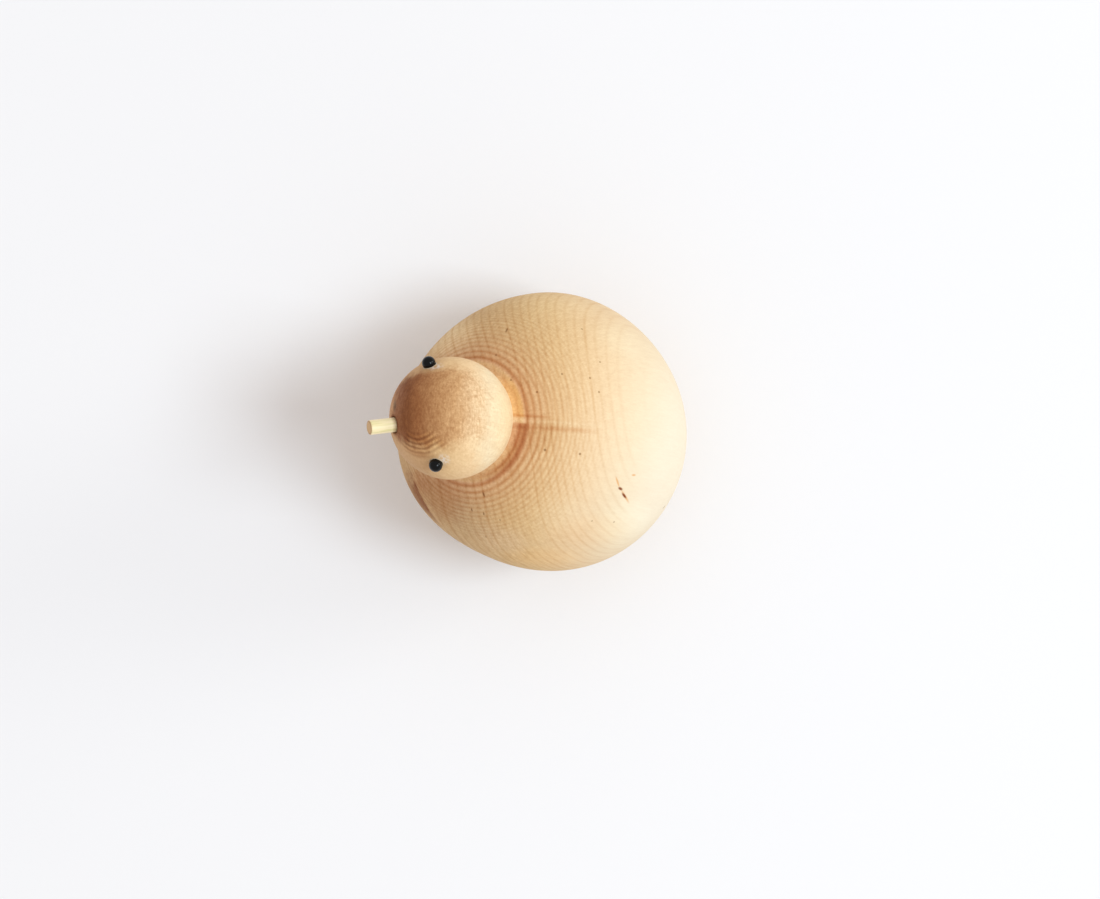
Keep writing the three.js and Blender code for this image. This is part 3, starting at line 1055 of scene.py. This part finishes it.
# its cut end: how far before the end the brown starts and is full. Its dark
# rim: how far inside the edge its middle is, its half width, from how far
# before the end it starts, and how much it hides.
BAMBOO_END, CUT_STARTS, CUT_FULL = shade(0.62, 0.38, 0.16), 0.16, 0.04
BAMBOO_RIM, CUT_RIM_IN, CUT_RIM_HALF = shade(0.3, 0.15, 0.06), 0.2, 0.3
CUT_RIM_STARTS, CUT_RIM_HIDES = 0.5, 0.6

# darker at the root, by the distance outside the head, and how much it hides
DARK_ROOT_ENDS, DARK_ROOT_FULL, DARK_ROOT_HIDES = 0.9, 0.1, 0.5


def bamboo_finish():
    """Split bamboo: fine fibres lengthwise, browned at the cut end and darker at the root."""
    bamboo = Finish("bamboo")
    place = bamboo.millimetres(HEAD)
    fibre = bamboo.grain(place, beak_along, BAMBOO_STRETCH)
    streaks = bamboo.noise(fibre, *BAMBOO_FIBRES)
    along = bamboo.dot(place, beak_along)
    off = bamboo.off_line(place, beak_along)
    tip = HEAD_R + BEAK_OUT
    colour = bamboo.blend(bamboo.rise(streaks, *BAMBOO_STREAKS), BAMBOO_PALE, BAMBOO_GREEN)
    dark_root = bamboo.rise(along, HEAD_R + DARK_ROOT_ENDS, HEAD_R + DARK_ROOT_FULL)
    colour = bamboo.blend(dark_root * DARK_ROOT_HIDES, colour, BAMBOO_RIM)
    end = bamboo.rise(along, tip - CUT_STARTS, tip - CUT_FULL)
    colour = bamboo.blend(end, colour, BAMBOO_END)
    rim = bamboo.band(off, 0.5 * BEAK_D - CUT_RIM_IN, CUT_RIM_HALF)
    rim = rim * bamboo.rise(along, tip - CUT_RIM_STARTS, tip)
    colour = bamboo.blend(rim * CUT_RIM_HIDES, colour, BAMBOO_RIM)
    return bamboo.surface({
        "Base Color": colour, "Roughness": streaks * BAMBOO_ROUGH_SWING + BAMBOO_ROUGH,
        "IOR": BAMBOO_IOR, "Normal": bamboo.bump(streaks, BAMBOO_DEPTH)})


# bead: black, a little greyer where it is scuffed; the scuffs' noise, middle
# and swing; roughness and its swing, and refraction
BEAD_BLACK, BEAD_SCUFFED = shade(0.001, 0.0012, 0.0016), shade(0.002, 0.0024, 0.003)
BEAD_SCUFFS, SCUFF_MIDDLE, SCUFF_SWING = (1.5, 3.0), 0.5, 0.3
BEAD_ROUGH, BEAD_ROUGH_SWING, BEAD_IOR = 0.1, 0.02, 1.28


def bead_finish():
    """Glossy black, with faint scuffs."""
    bead = Finish("black_bead")
    scuff = bead.noise(bead.millimetres(HEAD), *BEAD_SCUFFS)
    colour = bead.blend(scuff * SCUFF_SWING + SCUFF_MIDDLE, BEAD_BLACK, BEAD_SCUFFED)
    return bead.surface({
        "Base Color": colour, "Roughness": scuff * BEAD_ROUGH_SWING + BEAD_ROUGH, "IOR": BEAD_IOR})


# glue: milky, browner where dust is in it; the dust's noise, middle and
# swing; roughness and its swing, and refraction
GLUE_MILKY, GLUE_DUSTY = shade(0.62, 0.52, 0.38), shade(0.3, 0.2, 0.11)
GLUE_DUST, DUST_MIDDLE, DUST_SWING = (2.5, 3.0), 0.4, 0.4
GLUE_ROUGH, GLUE_ROUGH_SWING, GLUE_IOR = 0.3, 0.05, 1.45


def glue_finish():
    """Dried clear glue: milky, with dust in it."""
    glue = Finish("dried_glue")
    dust = glue.noise(glue.millimetres(HEAD), *GLUE_DUST)
    colour = glue.blend(dust * DUST_SWING + DUST_MIDDLE, GLUE_MILKY, GLUE_DUSTY)
    return glue.surface({
        "Base Color": colour, "Roughness": dust * GLUE_ROUGH_SWING + GLUE_ROUGH, "IOR": GLUE_IOR})


# table: white with faint clouds, their size by the metre, middle and swing
TABLE_DIM, TABLE_BRIGHT = shade(0.846, 0.846, 0.863), shade(0.871, 0.871, 0.887)
TABLE_CLOUDS, CLOUD_MIDDLE, CLOUD_SWING = 3.0, 0.5, 0.3
TABLE_ROUGH = 0.7


def floor_finish():
    """A matt white table top."""
    table = Finish("white_table")
    cloud = table.noise(table.add("ShaderNodeTexCoord", {}, {}, "Object"), TABLE_CLOUDS)
    colour = table.blend(cloud * CLOUD_SWING + CLOUD_MIDDLE, TABLE_DIM, TABLE_BRIGHT)
    return table.surface({"Base Color": colour, "Roughness": TABLE_ROUGH})


def dress(piece, finish, slot, *nodes):
    """Gives a piece its finish, ties it to the body, and hides the solids it replaces. The slot is not
    used.
    """
    piece.data.materials.clear()
    piece.data.materials.append(finish)
    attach(piece, "root")
    if nodes:
        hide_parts(*nodes)


def make_floor():
    """A level square under the bird."""
    corners = [(x * FLOOR_HALF, y * FLOOR_HALF, 0.0) for x, y in ((-1, -1), (1, -1), (1, 1), (-1, 1))]
    mesh = bpy.data.meshes.new("floor")
    mesh.from_pydata(corners, [], [(0, 1, 2, 3)])
    floor = bpy.data.objects.new("floor", mesh)
    bpy.context.collection.objects.link(floor)
    mesh.materials.append(floor_finish())


def softbox(name, place, target, size, power, colour):
    """A rectangular light that looks from its place to its target, in metres."""
    data = bpy.data.lights.new(name, "AREA")
    data.shape = "RECTANGLE"
    data.size, data.size_y = size
    data.energy = power
    data.color = colour
    lamp = bpy.data.objects.new(name, data)
    lamp.location = place
    lamp.rotation_euler = (Vector(target) - Vector(place)).to_track_quat("-Z", "Y").to_euler()
    bpy.context.collection.objects.link(lamp)


# Soft light: a warm pale room and two windows behind the tail, one of them
# low. A row is place and size in metres, power and colour. Both look at a
# point low in the bird.
ROOM = (0.75, 0.708, 0.682, 1.0)
LIGHTS = {
    "window": ((1.372, -0.12, 2.205), (0.9, 0.9), 28.0, (0.86, 0.995, 1.09)),
    "low_window": ((2.241, 0.728, 1.099), (0.9, 0.9), 11.2, (0.97, 1.0, 0.97)),
}
LIT_POINT = (0.0, 0.0, 0.02)


def light_and_camera():
    """The room and its windows, and the camera of the photograph, looking straight down."""
    world = bpy.data.worlds.new("room")
    world.use_nodes = True
    world.node_tree.nodes["Background"].inputs["Color"].default_value = ROOM
    bpy.context.scene.world = world
    for name, (place, size, power, colour) in LIGHTS.items():
        softbox(name, place, LIT_POINT, size, power, colour)
    bpy.context.scene.view_settings.view_transform = "Standard"
    bpy.context.scene.view_settings.look = "None"

    data = bpy.data.cameras.new("camera")
    data.sensor_fit = "HORIZONTAL"
    data.sensor_width = SENSOR_W
    data.lens = FOCAL_PIXELS * data.sensor_width / PHOTO_W
    camera = bpy.data.objects.new("camera", data)
    camera.location = CAMERA * MM
    bpy.context.collection.objects.link(camera)
    bpy.context.scene.camera = camera


light_and_camera()
make_floor()
dress(make_bird(), wood_finish(), "turned_wood", "body")
dress(make_beak(), bamboo_finish(), "bamboo", "beak")
black = bead_finish()
clear = glue_finish()
for seed, side in enumerate(EYES):
    dress(make_bead(side), black, "bead", side + "_eye")
    dress(make_eye_glue(side, seed), clear, "glue")
